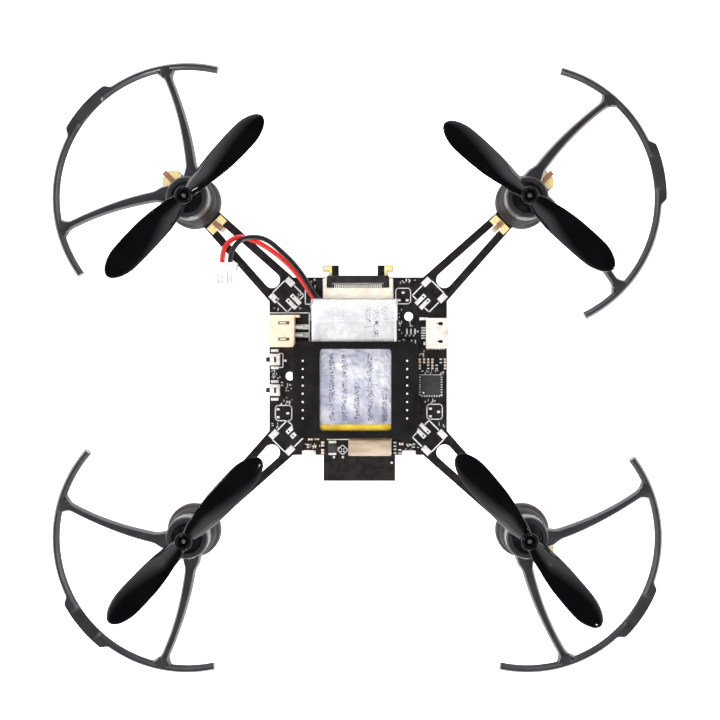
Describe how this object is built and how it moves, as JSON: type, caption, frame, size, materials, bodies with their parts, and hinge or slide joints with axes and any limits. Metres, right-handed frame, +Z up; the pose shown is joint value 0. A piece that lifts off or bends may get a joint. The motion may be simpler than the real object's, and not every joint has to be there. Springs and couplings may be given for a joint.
{
  "type": "mini palm drone",
  "caption": "Palm-size quadcopter whose circuit board is the frame, with open curved propeller guards, coreless motors in rubber grommets and a pouch battery under a pin plate.",
  "frame": {"origin": "on the ground under the middle of the main board, at the height of the four motor caps' lowest faces", "axes": "+Y towards the front, where the flat-cable socket is; +X to the right, where the USB socket is; +Z up, towards the propellers"},
  "size_m": [0.1481, 0.1472, 0.0252],
  "materials": {
    "board_black": "satin solder mask",
    "gold": "gold plating",
    "copper": "bare copper",
    "motor_steel": "dark plated",
    "magnet": "sintered",
    "motor_plastic": "moulded",
    "shaft_steel": "ground",
    "grommet_rubber": "soft",
    "guard_plastic": "satin moulded",
    "prop_plastic": "gloss moulded",
    "battery_foil": "soft foil pouch",
    "tape_yellow": "polyimide film",
    "plate_black": "matte solder mask",
    "header_black": "moulded",
    "pin_metal": "tinned",
    "cream_plastic": "moulded nylon",
    "ivory_plastic": "moulded",
    "latch_black": "moulded",
    "shell_metal": "plated sheet",
    "chip_black": "epoxy",
    "switch_metal": "plated sheet",
    "button_black": "moulded",
    "wire_red": "silicone",
    "wire_black": "silicone",
    "plug_white": "moulded nylon"
  },
  "bodies": {
    "airframe": {"front_left_motor_can": "motor_steel", "front_left_motor_cap": "motor_plastic", "front_left_motor_magnet": "magnet", "front_left_motor_leads": "copper", "front_left_grommet": "grommet_rubber", "front_left_guard": "guard_plastic", "front_right_motor_can": "motor_steel", "front_right_motor_cap": "motor_plastic", "front_right_motor_magnet": "magnet", "front_right_motor_leads": "copper", "front_right_grommet": "grommet_rubber", "front_right_guard": "guard_plastic", "rear_left_motor_can": "motor_steel", "rear_left_motor_cap": "motor_plastic", "rear_left_motor_magnet": "magnet", "rear_left_motor_leads": "copper", "rear_left_grommet": "grommet_rubber", "rear_left_guard": "guard_plastic", "rear_right_motor_can": "motor_steel", "rear_right_motor_cap": "motor_plastic", "rear_right_motor_magnet": "magnet", "rear_right_motor_leads": "copper", "rear_right_grommet": "grommet_rubber", "rear_right_guard": "guard_plastic", "main_board": "board_black", "gold_pads": "gold", "battery": "battery_foil", "battery_tape": "tape_yellow", "holder_plate": "plate_black", "header_sockets": "header_black", "header_strips": "header_black", "header_pins": "pin_metal", "power_socket": "cream_plastic", "power_pins": "pin_metal", "usb_shell": "shell_metal", "usb_tongue": "header_black", "fpc_housing": "ivory_plastic", "fpc_contacts": "pin_metal", "switch_bodies": "switch_metal", "radio_board": "board_black", "radio_shield": "shell_metal", "board_chips": "chip_black", "battery_red_wire": "wire_red", "battery_black_wire": "wire_black", "battery_plug": "plug_white"},
    "front_left_rotor": {"front_left_prop": "prop_plastic", "front_left_shaft": "shaft_steel", "front_left_motor_coil": "copper"},
    "front_right_rotor": {"front_right_prop": "prop_plastic", "front_right_shaft": "shaft_steel", "front_right_motor_coil": "copper"},
    "rear_left_rotor": {"rear_left_prop": "prop_plastic", "rear_left_shaft": "shaft_steel", "rear_left_motor_coil": "copper"},
    "rear_right_rotor": {"rear_right_prop": "prop_plastic", "rear_right_shaft": "shaft_steel", "rear_right_motor_coil": "copper"},
    "cable_latch": {"fpc_latch": "latch_black"},
    "front_button_body": {"front_button": "button_black"},
    "rear_button_body": {"rear_button": "button_black"}
  },
  "joints": [
    {"name": "front_left_spin", "type": "hinge", "parent": "airframe", "child": "front_left_rotor", "pos_m": [-0.041, 0.041, 0.0232], "axis": [0, 0, 1], "continuous": true},
    {"name": "front_right_spin", "type": "hinge", "parent": "airframe", "child": "front_right_rotor", "pos_m": [0.041, 0.041, 0.0232], "axis": [0, 0, 1], "continuous": true},
    {"name": "rear_left_spin", "type": "hinge", "parent": "airframe", "child": "rear_left_rotor", "pos_m": [-0.041, -0.041, 0.0232], "axis": [0, 0, 1], "continuous": true},
    {"name": "rear_right_spin", "type": "hinge", "parent": "airframe", "child": "rear_right_rotor", "pos_m": [0.041, -0.041, 0.0232], "axis": [0, 0, 1], "continuous": true},
    {"name": "latch_flip", "type": "hinge", "parent": "airframe", "child": "cable_latch", "pos_m": [0, 0.0202, 0.0109], "axis": [1, 0, 0], "range_deg": [0, 90]},
    {"name": "front_button_press", "type": "slide", "parent": "airframe", "child": "front_button_body", "axis": [1, 0, 0], "range_m": [0, 0.00025], "stiffness_N_per_m": 4000},
    {"name": "rear_button_press", "type": "slide", "parent": "airframe", "child": "rear_button_body", "axis": [1, 0, 0], "range_m": [0, 0.00025], "stiffness_N_per_m": 4000}
  ]
}
